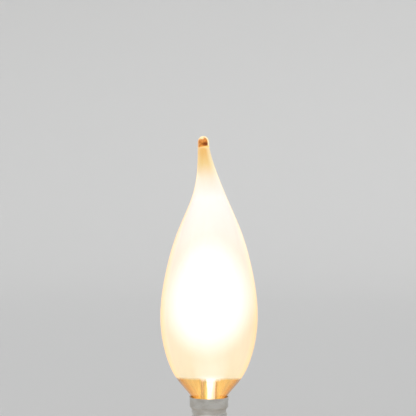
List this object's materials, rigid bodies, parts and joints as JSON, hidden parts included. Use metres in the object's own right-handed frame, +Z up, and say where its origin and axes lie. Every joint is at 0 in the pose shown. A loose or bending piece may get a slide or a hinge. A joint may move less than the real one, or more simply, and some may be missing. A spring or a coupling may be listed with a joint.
{
  "type": "bent tip candle lamp",
  "caption": "Lit candle lamp with a frosted flame-shaped glass, a clear bent tip and clear neck, glass stem with filament, and a candelabra screw cap.",
  "frame": {"origin": "lowest point of the centre contact, on the axis of the cap", "axes": "+Z up the axis of the cap towards the tip, the tip leans towards -X, the soldered side lead is at the back, 60 degrees from +X towards +Y"},
  "size_m": [0.0318, 0.0318, 0.1054],
  "materials": {
    "envelope_glass": "satin",
    "stem_glass": "gloss",
    "tungsten": "satin",
    "molybdenum": "satin",
    "nickel": "satin",
    "copper": "satin",
    "cap_metal": "satin",
    "brass": "satin",
    "solder": "satin",
    "black_glass": "gloss",
    "cement": "matte"
  },
  "bodies": {
    "root": {"glass_envelope": "envelope_glass", "stem": "stem_glass", "exhaust_tube": "stem_glass", "support_rod": "stem_glass", "support_wire_1": "molybdenum", "support_wire_2": "molybdenum", "support_wire_3": "molybdenum", "filament": "tungsten", "left_inner_lead": "nickel", "right_inner_lead": "nickel", "left_seal_wire": "copper", "right_seal_wire": "copper", "centre_lead": "copper", "fuse_lead": "copper", "fuse": "stem_glass", "side_lead": "copper", "cap_shell": "cap_metal", "cap_cement": "cement", "cap_insulator": "black_glass", "contact_eyelet": "brass", "centre_solder": "solder", "side_solder": "solder"}
  },
  "joints": []
}
